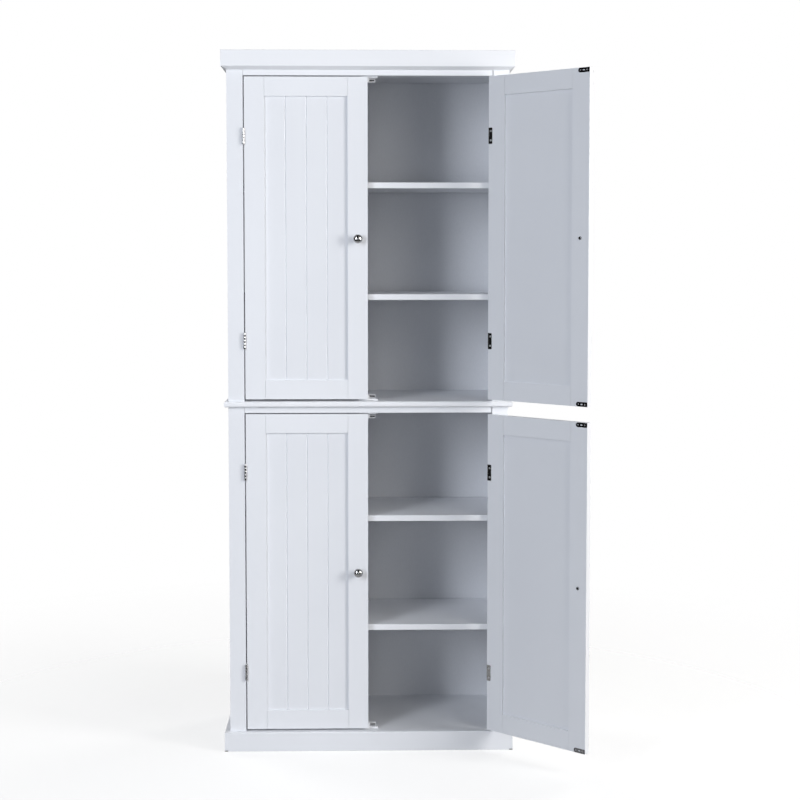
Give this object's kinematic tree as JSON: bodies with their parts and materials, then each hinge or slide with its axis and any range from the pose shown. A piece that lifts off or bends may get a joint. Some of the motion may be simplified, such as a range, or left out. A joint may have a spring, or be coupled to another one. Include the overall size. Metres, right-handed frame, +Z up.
{
  "type": "pantry cabinet",
  "caption": "Tall freestanding pantry cabinet: stacked upper and lower cupboards with adjustable shelves behind hinged beadboard doors, between a crown and a plinth.",
  "frame": {"origin": "on the floor, on the centre line, in the plane of the face frame's front", "axes": "+X to the right as seen from the front, +Y from the doors to the wall, +Z up"},
  "size_m": [0.936, 0.5815, 1.839],
  "materials": {
    "painted_board": "satin cool-white paint on fibreboard",
    "painted_hardboard": "matt white-faced hardboard",
    "nickel": "polished nickel plate",
    "dark_nickel": "dark bright-plated steel",
    "steel": "zinc-plated steel",
    "white_plastic": "moulded white plastic",
    "ferrite": "dull dark ceramic magnet",
    "dark_nylon": "black moulded nylon"
  },
  "bodies": {
    "carcass": {"plinth_front": "painted_board", "plinth_returns": "painted_board", "bottom_panel": "painted_board", "side_lower_left": "painted_board", "side_lower_right": "painted_board", "stile_lower_left": "painted_board", "stile_lower_right": "painted_board", "mid_board": "painted_board", "mid_rail": "painted_board", "side_upper_left": "painted_board", "side_upper_right": "painted_board", "stile_upper_left": "painted_board", "stile_upper_right": "painted_board", "top_rail": "painted_board", "top_panel": "painted_board", "top_cap": "painted_board", "crown_front": "painted_board", "crown_returns": "painted_board", "shelf_lower_bottom": "painted_board", "shelf_lower_top": "painted_board", "shelf_upper_bottom": "painted_board", "shelf_upper_top": "painted_board", "back_lower": "painted_hardboard", "back_upper": "painted_hardboard", "floor_glides": "dark_nylon", "shelf_pins": "steel", "catch_housings": "white_plastic", "catch_magnets": "ferrite", "catch_poles": "steel", "frame_hinge_leaves": "nickel", "hinge_pins": "nickel", "frame_screws": "steel"},
    "lower_left_door": {"lower_left_door_stiles": "painted_board", "lower_left_door_rails": "painted_board", "lower_left_door_panel": "painted_board", "lower_left_door_knob": "nickel", "lower_left_door_hinge_leaves": "nickel", "lower_left_door_strike_plates": "dark_nickel", "lower_left_door_screws": "steel"},
    "lower_right_door": {"lower_right_door_stiles": "painted_board", "lower_right_door_rails": "painted_board", "lower_right_door_panel": "painted_board", "lower_right_door_knob": "nickel", "lower_right_door_hinge_leaves": "nickel", "lower_right_door_strike_plates": "dark_nickel", "lower_right_door_screws": "steel"},
    "upper_left_door": {"upper_left_door_stiles": "painted_board", "upper_left_door_rails": "painted_board", "upper_left_door_panel": "painted_board", "upper_left_door_knob": "nickel", "upper_left_door_hinge_leaves": "nickel", "upper_left_door_strike_plates": "dark_nickel", "upper_left_door_screws": "steel"},
    "upper_right_door": {"upper_right_door_stiles": "painted_board", "upper_right_door_rails": "painted_board", "upper_right_door_panel": "painted_board", "upper_right_door_knob": "nickel", "upper_right_door_hinge_leaves": "nickel", "upper_right_door_strike_plates": "dark_nickel", "upper_right_door_screws": "steel"}
  },
  "joints": [
    {"name": "lower_left_hinge", "type": "hinge", "parent": "carcass", "child": "lower_left_door", "pos_m": [-0.3234, -0.003, 0.47515], "axis": [0, 0, -1], "range_deg": [0, 180]},
    {"name": "lower_right_hinge", "type": "hinge", "parent": "carcass", "child": "lower_right_door", "pos_m": [0.3234, -0.003, 0.47515], "axis": [0, 0, 1], "range_deg": [-136, 44]},
    {"name": "upper_left_hinge", "type": "hinge", "parent": "carcass", "child": "upper_left_door", "pos_m": [-0.3234, -0.003, 1.35265], "axis": [0, 0, -1], "range_deg": [0, 180]},
    {"name": "upper_right_hinge", "type": "hinge", "parent": "carcass", "child": "upper_right_door", "pos_m": [0.3234, -0.003, 1.35265], "axis": [0, 0, 1], "range_deg": [-136, 44]}
  ]
}
